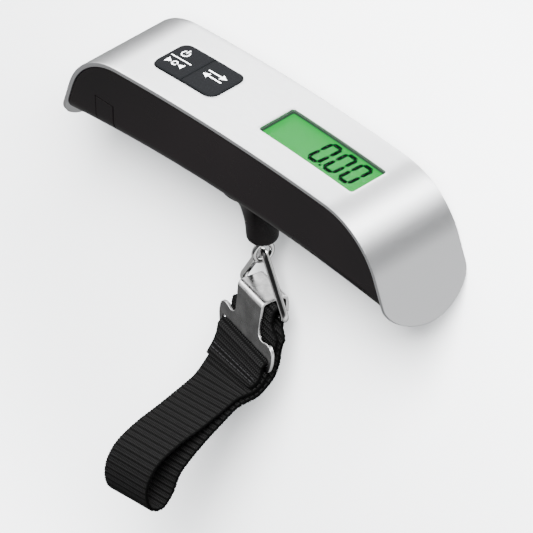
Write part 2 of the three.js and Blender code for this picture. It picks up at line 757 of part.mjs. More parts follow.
add("main_pcb", mainBoard(), finish(0x1f5a3a, 0.5));
add("controller_chip", chipBlob(), finish(0x111111, 0.4));
pcbScrews.forEach(([x, y], i) => {
  const boardBottom = PCB_TOP_Z - PCB_THICKNESS - 0.1;
  add(`pcb_screw_${i + 1}`, screw(x, y, boardBottom, -6.4, 1.9, 0.8, 1.2), steel);
});

add("load_cell", loadCell(), finish(0xb9bcc0, 0.4, 0.9));
cellScrews.forEach((x, i) => {
  add(`load_cell_screw_${i + 1}`, screw(x, 0, CELL_TOP_Z + 0.1, -23.1, 2.75, 1, 1.9), steel);
});
add("strain_gauge", box(14.8, 17.8, -1.6, 1.6, CELL_TOP_Z + 0.1, CELL_TOP_Z + 0.4), finish(0xb07a3a, 0.5));
const gaugeColours = [0xc03028, 0x161616, 0xe8e8e8, 0x2f8a4a];
gaugeColours.forEach((colour, i) => {
  const y = -1.8 + 1.2 * i;
  const z = CELL_TOP_Z + 1;
  wire(`gauge_wire_${i + 1}`, colour, [
    [16.3, y, z],
    [13, y, z + 0.4],
    [9, y, z + 0.8],
    [7, y, z + 1.3],
    [6.4, y, z + 2],
  ]);
});

add("battery", battery(), finish(0xc4c6c8, 0.3, 1));
add("battery_holder", batteryHolder(), finish(0x2a2a2c, 0.6));
batteryContacts();
const boardLeft = [-31.6, -13.2];
wire("battery_wire_pos", 0xc03028, [
  [-35.8, 1.2, BATTERY_TOP_Z + 1.1],
  [-34.8, 1.2, -17],
  [-32.8, 1.2, -15],
  [boardLeft[0], 1.2, boardLeft[1]],
]);
wire("battery_wire_neg", 0x161616, [
  [-42.6, -1.2, BATTERY_TOP_Z + 2.2],
  [-39.4, -1.2, -16.4],
  [-34.6, -1.2, -14.8],
  [boardLeft[0], -1.2, boardLeft[1]],
]);

caseScrews.forEach(([x, y], i) => {
  add(`case_screw_${i + 1}`, screw(x, y, -21.3, -12, 2.6, 0.9, 1.6), steel);
});

add("eye_washer", eyeWasher(), steel);
add("eye_bolt", eyeBolt(), chrome, chain);
add("eye_nut", eyeNut(), steel, chain);
add("wire_ring", wireRing(), chrome, chain);
add("hook_plate", hookPlate(), chrome, chain);
add("strap", strapLoop(), finish(0x17181a, 0.9), chain);

export default part;
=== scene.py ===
import json
import math

import bmesh
import bpy
import numpy as np
from mathutils import Matrix, Vector, geometry

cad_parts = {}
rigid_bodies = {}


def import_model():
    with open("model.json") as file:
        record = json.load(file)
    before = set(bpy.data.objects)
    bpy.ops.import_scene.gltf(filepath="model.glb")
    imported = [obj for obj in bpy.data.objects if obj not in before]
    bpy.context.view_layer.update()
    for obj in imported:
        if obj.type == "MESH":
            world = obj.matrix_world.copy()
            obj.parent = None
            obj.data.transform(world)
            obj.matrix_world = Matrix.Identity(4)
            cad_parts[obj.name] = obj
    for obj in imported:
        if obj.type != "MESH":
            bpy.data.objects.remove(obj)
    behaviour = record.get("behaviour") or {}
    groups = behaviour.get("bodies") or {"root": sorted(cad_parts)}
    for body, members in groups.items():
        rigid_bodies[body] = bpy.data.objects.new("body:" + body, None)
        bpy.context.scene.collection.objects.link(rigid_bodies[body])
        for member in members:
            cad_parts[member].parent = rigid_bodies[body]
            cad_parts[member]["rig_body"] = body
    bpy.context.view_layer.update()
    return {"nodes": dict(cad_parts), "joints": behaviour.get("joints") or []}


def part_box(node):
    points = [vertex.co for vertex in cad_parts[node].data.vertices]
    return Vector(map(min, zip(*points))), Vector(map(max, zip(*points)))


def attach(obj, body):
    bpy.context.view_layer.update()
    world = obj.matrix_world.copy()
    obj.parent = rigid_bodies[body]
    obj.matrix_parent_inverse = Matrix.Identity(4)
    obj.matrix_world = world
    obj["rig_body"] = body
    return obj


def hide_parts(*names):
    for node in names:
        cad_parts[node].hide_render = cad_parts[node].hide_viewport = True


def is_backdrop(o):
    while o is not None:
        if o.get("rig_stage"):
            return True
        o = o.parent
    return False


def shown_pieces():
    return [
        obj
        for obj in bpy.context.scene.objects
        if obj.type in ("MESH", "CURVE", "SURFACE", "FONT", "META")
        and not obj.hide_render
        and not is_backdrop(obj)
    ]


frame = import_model()
scene = bpy.context.scene
nodes = frame["nodes"]
joints = {joint["name"]: joint for joint in frame["joints"]}
MM = 0.001


def box_mm(node):
    low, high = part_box(node)
    return np.array(low) / MM, np.array(high) / MM


# ------------------------------------------------------------------ driving sizes, in mm
cover_high = box_mm("top_cover")[1]
HALF_LENGTH = float(cover_high[0])
HALF_WIDTH = float(cover_high[1])
COVER_THICKNESS = 1.4
TOP_RADIUS = 617.0
END_RADIUS = 23.5
END_TILT = math.radians(19.7)
END_STRAIGHT = 19.3
TONGUE_LENGTH = 10.6
TONGUE_POWER = 1.8
# Openings in the cover: left end, right end, half width and corner radius.
WINDOW = (6.9, 44.4, 6.65, 0.9)
KEYPAD = (-37.9, -12.3, 7.0, 3.2)
KEY_SEAM = -25.3
KEY_GAP = 0.25
# The keys' faces lie above the cover's skin by this much, as a negative depth.
KEY_RISE = -0.42
# The plane in which the ring hangs, and the bar at its foot.
YAW = math.atan2(joints["ring_swing"]["axis"][1], joints["ring_swing"]["axis"][0])
BAR_Z = joints["strap_swing"]["pos_m"][2] / MM
EYE_Z = -50.4
EYE_TOP = -13.0
RING_APEX_Z = -49.1
RING_HALF_BASE = 12.5
WIRE_RADIUS = 1.1
PLATE_TOP = -62.9
PLATE_FRONT = 4.6
PLATE_TILT = 0.133
PLATE_HEIGHT = 19.6
PLATE_THICKNESS = 1.0
PLATE_BAR = (6.57, -81.5)
STRAP_HALF = 12.4
STRAP_THICKNESS = 1.2
STRAP_ROLL = 0.34
WEAVE_DEPTH = 0.12
# Edges that turn by more than this stay sharp on the pieces inside the case.
CREASE = math.radians(35)


# ------------------------------------------------------------------ materials
def add(tree, kind, inputs=None, **settings):
    """A new shader node, with its inputs and settings filled in."""
    made = tree.nodes.new("ShaderNode" + kind)
    for setting, value in settings.items():
        setattr(made, setting, value)
    for socket, value in (inputs or {}).items():
        made.inputs[socket].default_value = value
    return made


def material(name, color, rough, metal=0.0):
    mat = bpy.data.materials.new(name)
    mat.use_nodes = True
    shader = principled(mat)
    shader.inputs["Base Color"].default_value = (*color, 1)
    shader.inputs["Roughness"].default_value = rough
    shader.inputs["Metallic"].default_value = metal
    return mat


def principled(mat):
    return mat.node_tree.nodes["Principled BSDF"]


def dull(mat, level):
    principled(mat).inputs["Specular IOR Level"].default_value = level


def link(mat, a, out, b, into):
    mat.node_tree.links.new(a.outputs[out], b.inputs[into])


def noise(mat, scale, detail=3.0, stretch=(1, 1, 1)):
    coords = add(mat.node_tree, "TexCoord")
    mapping = add(mat.node_tree, "Mapping", {"Scale": stretch})
    tex = add(mat.node_tree, "TexNoise", {"Scale": scale, "Detail": detail})
    link(mat, coords, "Object", mapping, "Vector")
    link(mat, mapping, "Vector", tex, "Vector")
    return tex


def spread(mat, tex, low, high):
    """Spreads the middle of a noise over the range from low to high."""
    span = {"From Min": 0.3, "From Max": 0.7, "To Min": low, "To Max": high}
    mapped = add(mat.node_tree, "MapRange", span)
    link(mat, tex, "Fac", mapped, "Value")
    return mapped


def vary(mat, tex, into, low, high):
    link(mat, spread(mat, tex, low, high), "Result", principled(mat), into)


def tint(mat, tex, low, high):
    ramp = add(mat.node_tree, "ValToRGB")
    for element, position, color in zip(ramp.color_ramp.elements, (0.32, 0.68), (low, high)):
        element.position = position
        element.color = (*color, 1)
    link(mat, tex, "Fac", ramp, "Fac")
    link(mat, ramp, "Color", principled(mat), "Base Color")


def painted_light_by_facing(mat, direction, stops):
    """Painted light: a grey ramp over the side that a face turns to, so faces are coloured lit or shaded
    by their facing; stops are (dot product, grey) pairs.
    """
    shape = add(mat.node_tree, "NewGeometry")
    dot = add(mat.node_tree, "VectorMath", {1: direction}, operation="DOT_PRODUCT")
    span = add(mat.node_tree, "MapRange", {"From Min": -1})
    ramp = add(mat.node_tree, "ValToRGB")
    set_stops(ramp, [((value + 1) / 2, grey) for value, grey in stops])
    link(mat, shape, "Normal", dot, 0)
    link(mat, dot, "Value", span, "Value")
    link(mat, span, "Result", ramp, "Fac")
    return ramp


def set_stops(ramp, stops):
    elements = ramp.color_ramp.elements
    while len(elements) > 1:
        elements.remove(elements[-1])
    elements[0].position = stops[0][0]
    elements[0].color = (stops[0][1],) * 3 + (1,)
    for position, grey in stops[1:]:
        elements.new(position).color = (grey, grey, grey, 1)


# Places of the colour sockets on a mix node, whose names repeat for each kind of data.
MIX_COLOR_A, MIX_COLOR_B, MIX_COLOR_OUT = 6, 7, 2


def combine(mat, mode, first, second):
    """Blends two (node, output) pairs fully in the given blend mode."""
    mix = add(mat.node_tree, "Mix", data_type="RGBA", blend_type=mode)
    mix.inputs["Factor"].default_value = 1
    link(mat, *first, mix, MIX_COLOR_A)
    link(mat, *second, mix, MIX_COLOR_B)
    return mix


def bump(mat, tex, strength, distance):
    relief = add(mat.node_tree, "Bump", {"Strength": strength, "Distance": distance})
    link(mat, tex, "Fac", relief, "Height")
    link(mat, relief, "Normal", principled(mat), "Normal")


def silver_material():
    mat = material("silver_coat", (0.8, 0.81, 0.825), 0.3, 1.0)
    vary(mat, noise(mat, 900, 2, (0.3, 1, 1)), "Roughness", 0.29, 0.33)
    return mat


def black_material():
    mat = material("tray_black", (0.0025, 0.0024, 0.0026), 0.3)
    dull(mat, 0.14)
    vary(mat, noise(mat, 60, 4), "Roughness", 0.24, 0.36)
    tint(mat, noise(mat, 14, 2), (0.0015, 0.0014, 0.0015), (0.0031, 0.0025, 0.0027))
    return mat


def key_material():
    mat = material("key_rubber", (0.0032, 0.0034, 0.0038), 0.42)
    dull(mat, 0.02)
    bump(mat, noise(mat, 3500, 2), 0.12, 0.00003)
    return mat


def chrome_material():
    mat = material("chrome_wire", (0.78, 0.785, 0.79), 0.12, 1.0)
    # Painted reflections: bright bands and a dark core in the wire's colour, set by the side its faces
    # turn to.
    bands = painted_light_by_facing(
        mat,
        (0.34, -0.66, 0.67),
        [(-1, 0.35), (-0.2, 0.06), (0.1, 0.3), (0.35, 1.0), (0.78, 1.0), (0.88, 0.08), (0.97, 0.03)],
    )
    link(mat, bands, "Color", principled(mat), "Base Color")
    vary(mat, noise(mat, 300, 3), "Roughness", 0.08, 0.16)
    return mat


def plate_material():
    mat = material("nickel_sheet", (0.42, 0.42, 0.425), 0.26, 1.0)
    # Painted highlights: the bends, whose faces turn partly upwards, and the side edges are coloured
    # bright.
    painted_bend_highlight = painted_light_by_facing(
        mat,
        (0, 0, 1),
        [(-1, 0.2), (-0.3, 0.24), (0.2, 0.27), (0.34, 1.0), (0.8, 1.0), (0.93, 0.3), (1, 0.24)],
    )
    side = Vector((math.cos(YAW), math.sin(YAW), 0))
    edge = painted_light_by_facing(mat, side, [(-1, 0.9), (-0.6, 0.8), (-0.3, 0), (0.3, 0), (0.6, 0.9), (1, 1)])
    # A random mottle in the metal's tone, multiplied over the painted highlights.
    shade = spread(mat, noise(mat, 260, 4), 0.72, 1.2)
    painted_highlight_pair = combine(mat, "LIGHTEN", (painted_bend_highlight, "Color"), (edge, "Color"))
    painted_highlights_mottled = combine(mat, "MULTIPLY", (painted_highlight_pair, MIX_COLOR_OUT), (shade, "Result"))
    link(mat, painted_highlights_mottled, MIX_COLOR_OUT, principled(mat), "Base Color")
    vary(mat, noise(mat, 420, 4), "Roughness", 0.2, 0.38)
    bump(mat, noise(mat, 900, 3), 0.1, 0.00005)
    return mat


def webbing_material():
    mat = material("webbing_yarn", (0.003, 0.003, 0.0032), 0.65)
    # Painted shade and highlight: the weave's height sets the yarn's colour, near black in the grooves
    # and lighter on the raised loops.
    weave = add(mat.node_tree, "Attribute", attribute_name="weave")
    ramp = add(mat.node_tree, "ValToRGB")
    set_stops(ramp, [(0.1, 0.0002), (0.5, 0.0009), (0.72, 0.0028), (1, 0.0085)])
    link(mat, weave, "Fac", ramp, "Fac")
    link(mat, ramp, "Color", principled(mat), "Base Color")
    bump(mat, noise(mat, 5200, 3), 0.3, 0.00008)
    dull(mat, 0.04)
    return mat


def lens_material():
    mat = material("clear_lens", (1, 1, 1), 0.05)
    tree = mat.node_tree
    clear = add(tree, "BsdfTransparent", {"Color": (0.95, 0.98, 0.96, 1)})
    gloss = add(tree, "BsdfGlossy", {"Roughness": 0.08})
    mix = add(tree, "MixShader", {0: 0.002})
    link(mat, clear, "BSDF", mix, 1)
    link(mat, gloss, "BSDF", mix, 2)
    link(mat, mix, "Shader", tree.nodes["Material Output"], "Surface")
    return mat


def glow_material():
    mat = material("lcd_glow", (0.002, 0.012, 0.003), 0.5)
    dull(mat, 0.1)
    shader = principled(mat)
    shader.inputs["Emission Color"].default_value = (0.012, 0.66, 0.09, 1)
    shader.inputs["Emission Strength"].default_value = 0.95
    return mat


silver = silver_material()
black = black_material()
key_black = key_material()
chrome = chrome_material()
nickel = plate_material()
webbing = webbing_material()
thread = material("stitch_thread", (0.004, 0.004, 0.0045), 0.6)
print_white = material("print_grey", (0.62, 0.62, 0.63), 0.5)
segment_black = material("lcd_segment", (0.0006, 0.002, 0.001), 0.6)
dull(segment_black, 0.0)
# Painted shade: a near black colour for the sheet lining the window's walls, where shade falls inside
# the recess.
painted_window_shade = material("window_shade_liner", (0.006, 0.012, 0.008), 0.6)
steel = material("plated_steel", (0.55, 0.56, 0.58), 0.3, 1.0)
alloy = material("machined_alloy", (0.72, 0.73, 0.75), 0.35, 1.0)
vary(alloy, noise(alloy, 500, 3, (1, 0.1, 1)), "Roughness", 0.25, 0.45)
board = material("board_green", (0.02, 0.16, 0.06), 0.4)
tint(board, noise(board, 350, 2), (0.015, 0.13, 0.05), (0.03, 0.2, 0.08))
epoxy = material("epoxy_black", (0.006, 0.006, 0.006), 0.25)
red_plastic = material("plunger_red", (0.35, 0.03, 0.02), 0.5)
white_plastic = material("frame_white", (0.75, 0.75, 0.73), 0.55)
gold = material("contact_gold", (0.8, 0.58, 0.28), 0.3, 1.0)
rubber = material("connector_rubber", (0.5, 0.3, 0.27), 0.8)
wire_colours = {
    "gauge_wire_1": (0.5, 0.02, 0.015),
    "gauge_wire_2": (0.01, 0.01, 0.01),
    "gauge_wire_3": (0.8, 0.8, 0.8),
    "gauge_wire_4": (0.02, 0.3, 0.06),
    "battery_wire_pos": (0.5, 0.02, 0.015),
    "battery_wire_neg": (0.01, 0.01, 0.01),
}


# ------------------------------------------------------------------ mesh tools
def make(name, verts, faces, mat, body, replaced=(), sharp=40):
    mesh = bpy.data.meshes.new(name)
    mesh.from_pydata((np.asarray(verts, float) * MM).tolist(), [], faces)
    mesh.validate()
    ob = bpy.data.objects.new(name, mesh)
    scene.collection.objects.link(ob)
    mesh.materials.append(mat)
    outward(mesh)
    for face in mesh.polygons:
        face.use_smooth = True
    mesh.set_sharp_from_angle(angle=math.radians(sharp))
    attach(ob, body)
    if replaced:
        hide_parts(*replaced)
    return ob


def outward(mesh):
    work = bmesh.new()
    work.from_mesh(mesh)
    bmesh.ops.remove_doubles(work, verts=work.verts, dist=1e-7)
    bmesh.ops.recalc_face_normals(work, faces=work.faces)
    work.to_mesh(mesh)
    work.free()


def yawed(points):
    """Turns points from the ring's plane into the frame."""
    pts = np.asarray(points, float)
    c, s = math.cos(YAW), math.sin(YAW)
    return np.stack([pts[:, 0] * c - pts[:, 1] * s, pts[:, 0] * s + pts[:, 1] * c, pts[:, 2]], 1)


def join(parts):
    verts, faces, base = [], [], 0
    for part_verts, part_faces in parts:
        verts.append(np.asarray(part_verts, float))
        faces.extend([[i + base for i in face] for face in part_faces])
        base += len(part_verts)
    return np.concatenate(verts), faces


def rounded_loop(x0, x1, y0, y1, radii, steps=8):
    """A counter-clockwise rounded rectangle; radii run from the lower left corner round."""
    corners = [
        (x0, y0, 180, radii[0]),
        (x1, y0, 270, radii[1]),
        (x1, y1, 0, radii[2]),
        (x0, y1, 90, radii[3]),
    ]
    loop = []
    for x, y, start, r in corners:
        cx = x + r if x == x0 else x - r
        cy = y + r if y == y0 else y - r
        for i in range(steps + 1):
            a = math.radians(start + 90 * i / steps)
            loop.append((cx + r * math.cos(a), cy + r * math.sin(a)))
    return np.array(loop)


def resample(loop, spacing):
    """Adds points on long edges, and keeps every corner point."""
    out = []
    for i, p in enumerate(loop):
        q = loop[(i + 1) % len(loop)]
        n = max(1, int(math.ceil(np.linalg.norm(q - p) / spacing)))
        for k in range(n):
            out.append(p + (q - p) * k / n)
    return np.array(out)


def shrink(loop, distance):
    """Moves a counter-clockwise loop inwards by distance."""
    ahead = np.roll(loop, -1, 0) - loop
    behind = loop - np.roll(loop, 1, 0)
    ahead /= np.linalg.norm(ahead, axis=1)[:, None] + 1e-12
    behind /= np.linalg.norm(behind, axis=1)[:, None] + 1e-12
    n1 = np.stack([-ahead[:, 1], ahead[:, 0]], 1)
    n2 = np.stack([-behind[:, 1], behind[:, 0]], 1)
    both = n1 + n2
    both /= np.linalg.norm(both, axis=1)[:, None] + 1e-12
    stretch = 1 / np.clip((both * n1).sum(1), 0.5, 1)
    return loop + both * (distance * stretch)[:, None]


def inside(points, loop):
    """Which points lie within a loop, by counting the edges to their right."""
    x, y = points[:, 0], points[:, 1]
    hit = np.zeros(len(points), bool)
    for i in range(len(loop)):
        x0, y0 = loop[i]
        x1, y1 = loop[(i + 1) % len(loop)]
        crosses = (y0 > y) != (y1 > y)
        if y1 != y0:
            hit ^= crosses & (x < (x1 - x0) * (y - y0) / (y1 - y0) + x0)
    return hit


def sheet(place, outer, holes, top, bottom, edge, spacing, edge_steps=3):
    """A bent sheet with rounded edges. place(s, w, depth) gives points in space; loops are in (s, w).
    The sheet runs from depth top to depth bottom; edge is the radius of the rounded edges."""
    loops = [(np.asarray(outer, float), 1)] + [(np.asarray(h, float), -1) for h in holes]
    rims = [shrink(loop, edge * sign) for loop, sign in loops]
    flat = np.concatenate(rims)
    outer_rim = rims[0]
    low, high = outer_rim.min(0), outer_rim.max(0)
    rows = []
    row = 0
    w = low[1] + spacing / 2
    while w < high[1]:
        shift = spacing / 2 if row % 2 else 0
        ss = np.arange(low[0] + spacing / 2 + shift, high[0], spacing)
        rows.append(np.stack([ss, np.full(len(ss), w)], 1))
        w += spacing * 0.866
        row += 1
    grid = np.concatenate(rows) if rows else np.zeros((0, 2))
    if len(grid):
        keep = inside(grid, outer_rim)
        for rim in rims[1:]:
            keep &= ~inside(grid, rim)
        grid = grid[keep]
        gap = np.full(len(grid), 1e9)
        for rim in rims:
            for start in range(0, len(rim), 200):
                part = rim[start : start + 200]
                gap = np.minimum(gap, np.linalg.norm(grid[:, None] - part[None], axis=2).min(1))
        grid = grid[gap > spacing * 0.55]
    points = np.concatenate([flat, grid])
    edges, base = [], 0
    for rim in rims:
        n = len(rim)
        edges += [(base + i, base + (i + 1) % n) for i in range(n)]
        base += n
    got = geometry.delaunay_2d_cdt([Vector(p) for p in points], edges, [], 0, 1e-7, True)
    origin = [ids[0] if ids else -1 for ids in got[3]]
    tris = np.array([[origin[i] for i in face] for face in got[2]])
    tris = tris[(tris >= 0).all(1)]
    centres = points[tris].mean(1)
    keep = inside(centres, outer_rim)
    for rim in rims[1:]:
        keep &= ~inside(centres, rim)
    tris = tris[keep]
    verts = [place(points[:, 0], points[:, 1], np.full(len(points), top))]
    verts.append(place(points[:, 0], points[:, 1], np.full(len(points), bottom)))
    count = len(points)
    faces = [list(map(int, t)) for t in tris] + [[int(i) + count for i in t[::-1]] for t in tris]
    total = 2 * count
    base = 0
    for (loop, sign), rim in zip(loops, rims):
        n = len(loop)
        rings = [list(range(base, base + n))]
        levels = []
        for k in range(1, edge_steps + 1):
            a = math.pi / 2 * k / edge_steps
            levels.append((edge * (1 - math.sin(a)), top + edge * (1 - math.cos(a))))
        for k in range(edge_steps, 0, -1):
            a = math.pi / 2 * k / edge_steps
            levels.append((edge * (1 - math.sin(a)), bottom - edge * (1 - math.cos(a))))
        for inset, depth in levels:
            moved = shrink(loop, inset * sign) if inset > 1e-9 else loop
            verts.append(place(moved[:, 0], moved[:, 1], np.full(n, depth)))
            rings.append(list(range(total, total + n)))
            total += n
        rings.append(list(range(base + count, base + count + n)))
        for a, b in zip(rings[:-1], rings[1:]):
            for i in range(n):
                j = (i + 1) % n
                faces.append([a[i], a[j], b[j], b[i]])
        base += n
    return np.concatenate(verts), faces


def lathe(profile, centre, sides=48):
    """Turns (radius, height) pairs about the upright line through centre.
    The pairs start and end on the axis."""
    verts, faces, rings = [], [], []
    for r, z in profile:
        if r < 1e-6:
            rings.append([len(verts)])
            verts.append((centre[0], centre[1], z))
            continue
        ring = []
        for k in range(sides):
            a = 2 * math.pi * k / sides
            ring.append(len(verts))
            verts.append((centre[0] + r * math.cos(a), centre[1] + r * math.sin(a), z))
        rings.append(ring)
    for a, b in zip(rings[:-1], rings[1:]):
        for k in range(sides):
            j = (k + 1) % sides
            if len(a) == 1:
                faces.append([a[0], b[k], b[j]])
            elif len(b) == 1:
                faces.append([a[k], a[j], b[0]])
            else:
                faces.append([a[k], a[j], b[j], b[k]])
    return np.array(verts), faces


def tube(path, radius, sides=20, side_axis=(0, 1, 0), closed=True):
    """A round rod along a path that lies in a plane whose normal is side_axis."""
    path = np.asarray(path, float)
    side = np.array(side_axis, float)
    if closed:
        along = np.roll(path, -1, 0) - np.roll(path, 1, 0)
    else:
        along = np.gradient(path, axis=0)
    along /= np.linalg.norm(along, axis=1)[:, None]
    across = np.cross(along, side)
    verts = []
    for k in range(sides):
        a = 2 * math.pi * k / sides
        verts.append(path + radius * (math.cos(a) * across + math.sin(a) * side))
    verts = np.stack(verts, 1).reshape(-1, 3)
    n = len(path)
    faces = []
    for i in range(n if closed else n - 1):
        j = (i + 1) % n
        for k in range(sides):
            m = (k + 1) % sides
            faces.append([i * sides + k, i * sides + m, j * sides + m, j * sides + k])
    if not closed:
        faces.append(list(range(sides))[::-1])
        faces.append([(n - 1) * sides + k for k in range(sides)])
    return verts, faces


def catmull(points, samples):
    """A smooth curve through points, with samples steps between each pair."""
    pts = np.asarray(points, float)
    pts = np.concatenate([[2 * pts[0] - pts[1]], pts, [2 * pts[-1] - pts[-2]]])
    out = []
    for i in range(1, len(pts) - 2):
        p0, p1, p2, p3 = pts[i - 1 : i + 3]
        for k in range(samples):
            t = k / samples
            out.append(
                0.5
                * (
                    2 * p1
                    + (p2 - p0) * t
                    + (2 * p0 - 5 * p1 + 4 * p2 - p3) * t * t
                    + (3 * p1 - p0 - 3 * p2 + p3) * t**3
                )
            )
    out.append(pts[-2])
    return np.array(out)


def even(path, step):
    """The path with points about step apart, and the length along it at each."""
    gaps = np.linalg.norm(np.diff(path, axis=0), axis=1)
    s = np.concatenate([[0], np.cumsum(gaps)])
    n = int(round(s[-1] / step))
    at = np.linspace(0, s[-1], n + 1)
    return np.stack([np.interp(at, s, path[:, k]) for k in range(path.shape[1])], 1), at


# ------------------------------------------------------------------ the cover's arched profile
corner_x = HALF_LENGTH - END_RADIUS * math.cos(END_TILT) - END_STRAIGHT * math.sin(END_TILT)
top_end = math.asin(corner_x / (TOP_RADIUS - END_RADIUS))
corner_z = (TOP_RADIUS - END_RADIUS) * math.cos(top_end) - TOP_RADIUS
corner_end = math.pi / 2 - END_TILT
S_TOP = TOP_RADIUS * top_end
S_CORNER = S_TOP + END_RADIUS * (corner_end - top_end)
S_END = S_CORNER + END_STRAIGHT


def arch(s, w, depth):
    """A point depth below the cover's outer skin, s along the arch from its crown, w across."""
    s, w, depth = (np.asarray(v, float) for v in (s, w, depth))
    side = np.where(s < 0, -1.0, 1.0)
    a_s = np.abs(s)
    top_angle = np.minimum(a_s, S_TOP) / TOP_RADIUS
    angle = top_angle + np.clip(a_s - S_TOP, 0, S_CORNER - S_TOP) / END_RADIUS
    on_top = a_s <= S_TOP
    x = np.where(on_top, TOP_RADIUS * np.sin(angle), corner_x + END_RADIUS * np.sin(angle))
    z = np.where(
        on_top, TOP_RADIUS * np.cos(angle) - TOP_RADIUS, corner_z + END_RADIUS * np.cos(angle)
    )
    tail = np.clip(a_s - S_CORNER, 0, None)
    x = x + tail * math.sin(END_TILT) - depth * np.sin(angle)
    z = z - tail * math.cos(END_TILT) - depth * np.cos(angle)
    return np.stack([side * x, w, z], -1)


def on_arch(x):
    """Length along the arch from its crown to a given x on the flat part."""
    return TOP_RADIUS * math.asin(x / TOP_RADIUS)


def cover_posts():
    """Screw bosses under the cover, each with a blind hole from below."""
    bend_from = 43
    skin_overlap, bend_overlap = 0.9, 1.2
    hole_depth = 6
    posts = []
    for node, radius, bore, reach in (
        ("case_screw_1", 2.1, 1.0, -18.6),
        ("case_screw_2", 2.1, 1.0, -18.6),
        ("case_screw_3", 1.9, 1.0, -18.6),
        ("case_screw_4", 1.9, 1.0, -18.6),
        ("pcb_screw_1", 2.0, 0.9, -10.9),
        ("pcb_screw_2", 2.0, 0.9, -10.9),
    ):
        low, high = box_mm(node)
        x, y = (low[0] + high[0]) / 2, (low[1] + high[1]) / 2
        if abs(x) < bend_from:
            top = float(arch(on_arch(abs(x)), 0, skin_overlap)[2])
        else:
            across = abs(x) + radius - corner_x
            top = corner_z + math.sqrt((END_RADIUS - bend_overlap) ** 2 - across**2)
        hole = reach + hole_depth
        profile = [(0, top), (radius, top), (radius, reach), (bore, reach), (bore, hole), (0, hole)]
        posts.append(lathe(profile, (x, y), 20))
    return posts


def cover_piece():
    side = [(s, -HALF_WIDTH) for s in np.arange(0, S_END - TONGUE_LENGTH - 0.4, 0.8)]
    tip = []
    steps = 26
    for i in range(steps):
        a = math.pi / 2 * i / steps
        w = HALF_WIDTH * math.cos(a) ** (2 / TONGUE_POWER)
        v = TONGUE_LENGTH * math.sin(a) ** (2 / TONGUE_POWER)
        tip.append((S_END - TONGUE_LENGTH + v, -w))
    quarter = side + tip
    right = quarter + [(S_END, 0.0)] + [(s, -w) for s, w in reversed(quarter[1:])]
    left = [(-s, -w) for s, w in right]
    outer = np.array(right + [(0.0, HALF_WIDTH)] + left[1:], float)
    outer = resample(outer, 0.9)
    holes = []
    for x0, x1, half, radius in (WINDOW, KEYPAD):
        loop = rounded_loop(on_arch(x0), on_arch(x1), -half, half, [radius] * 4)
        holes.append(resample(loop, 0.9))
    skin = sheet(arch, outer, holes, 0.0, COVER_THICKNESS, 0.22, 1.1)
    verts, faces = join([skin] + cover_posts())
    make("cover", verts, faces, silver, "case", ["top_cover"], 30)


# ------------------------------------------------------------------ tray and door, from the frame
def refined(node, name, mat):
    """A copy of a CAD node with its seams joined, so that curved parts shade smoothly."""
    mesh = nodes[node].data.copy()
    mesh.name = name
    work = bmesh.new()
    work.from_mesh(mesh)
    bmesh.ops.remove_doubles(work, verts=work.verts, dist=1e-6)
    bmesh.ops.dissolve_limit(
        work, angle_limit=math.radians(0.4), verts=work.verts, edges=work.edges
    )
    bmesh.ops.triangulate(work, faces=[f for f in work.faces if len(f.verts) > 4])
    work.to_mesh(mesh)
    work.free()
    if "custom_normal" in mesh.attributes:
        mesh.attributes.remove(mesh.attributes["custom_normal"])
    mesh.materials.clear()
    mesh.materials.append(mat)
    for face in mesh.polygons:
        face.use_smooth = True
        face.material_index = 0
    mesh.set_sharp_from_angle(angle=math.radians(28))
    ob = bpy.data.objects.new(name, mesh)
    scene.collection.objects.link(ob)
    rounding = ob.modifiers.new("edge", "BEVEL")
    rounding.width = 0.00012
    rounding.segments = 2
    rounding.limit_method = "ANGLE"
    rounding.angle_limit = math.radians(50)
    rounding.use_clamp_overlap = True
    weighted = ob.modifiers.new("weighted", "WEIGHTED_NORMAL")
    weighted.keep_sharp = True
    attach(ob, nodes[node]["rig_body"])
    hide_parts(node)


# ------------------------------------------------------------------ keys and their marks
def key_loop(x0, x1, radii):
    half = KEYPAD[2] - KEY_GAP
    return resample(rounded_loop(on_arch(x0), on_arch(x1), -half, half, radii), 0.8)


def key_piece(name, x0, x1, radii, replaced, plunger, body):
    """A key's cap with the stem that presses the plunger below it."""
    cap = sheet(arch, key_loop(x0, x1, radii), [], KEY_RISE, 2.6, 0.4, 0.9, 4)
    foot = box_mm(replaced)[0][2]
    plunger_low, plunger_high = box_mm(plunger)
    x = float(plunger_low[0] + plunger_high[0]) / 2
    stem_radius, stem_top = 2, -2.4
    profile = [(0, stem_top), (stem_radius, stem_top), (stem_radius, foot), (0, foot)]
    stem = lathe(profile, (x, 0), 24)
    verts, faces = join([cap, stem])
    make(name, verts, faces, key_black, body, [replaced], 40)


def arc_strip(cx, cy, radius, width, start, end, steps=18):
    """A strip of even width along an arc, between two angles in degrees."""
    outer, inner = [], []
    for i in range(steps + 1):
        a = math.radians(start + (end - start) * i / steps)
        for side, reach in ((outer, radius + width / 2), (inner, radius - width / 2)):
            side.append((cx + reach * math.cos(a), cy + reach * math.sin(a)))
    return outer + inner[::-1]


def bar(x0, y0, x1, y1):
    return [(x0, y0), (x1, y0), (x1, y1), (x0, y1)]


def marks(name, shapes, body):
    """Printed shapes, sunk a little into the keys' faces."""
    proud, sunk = 0.03, 0.06
    parts = []
    for shape in shapes:
        loop = resample(np.array(shape, float), 0.5)
        parts.append(sheet(arch, loop, [], KEY_RISE - proud, KEY_RISE + sunk, 0.01, 0.6, 1))
    verts, faces = join(parts)
    make(name, verts, faces, print_white, body)


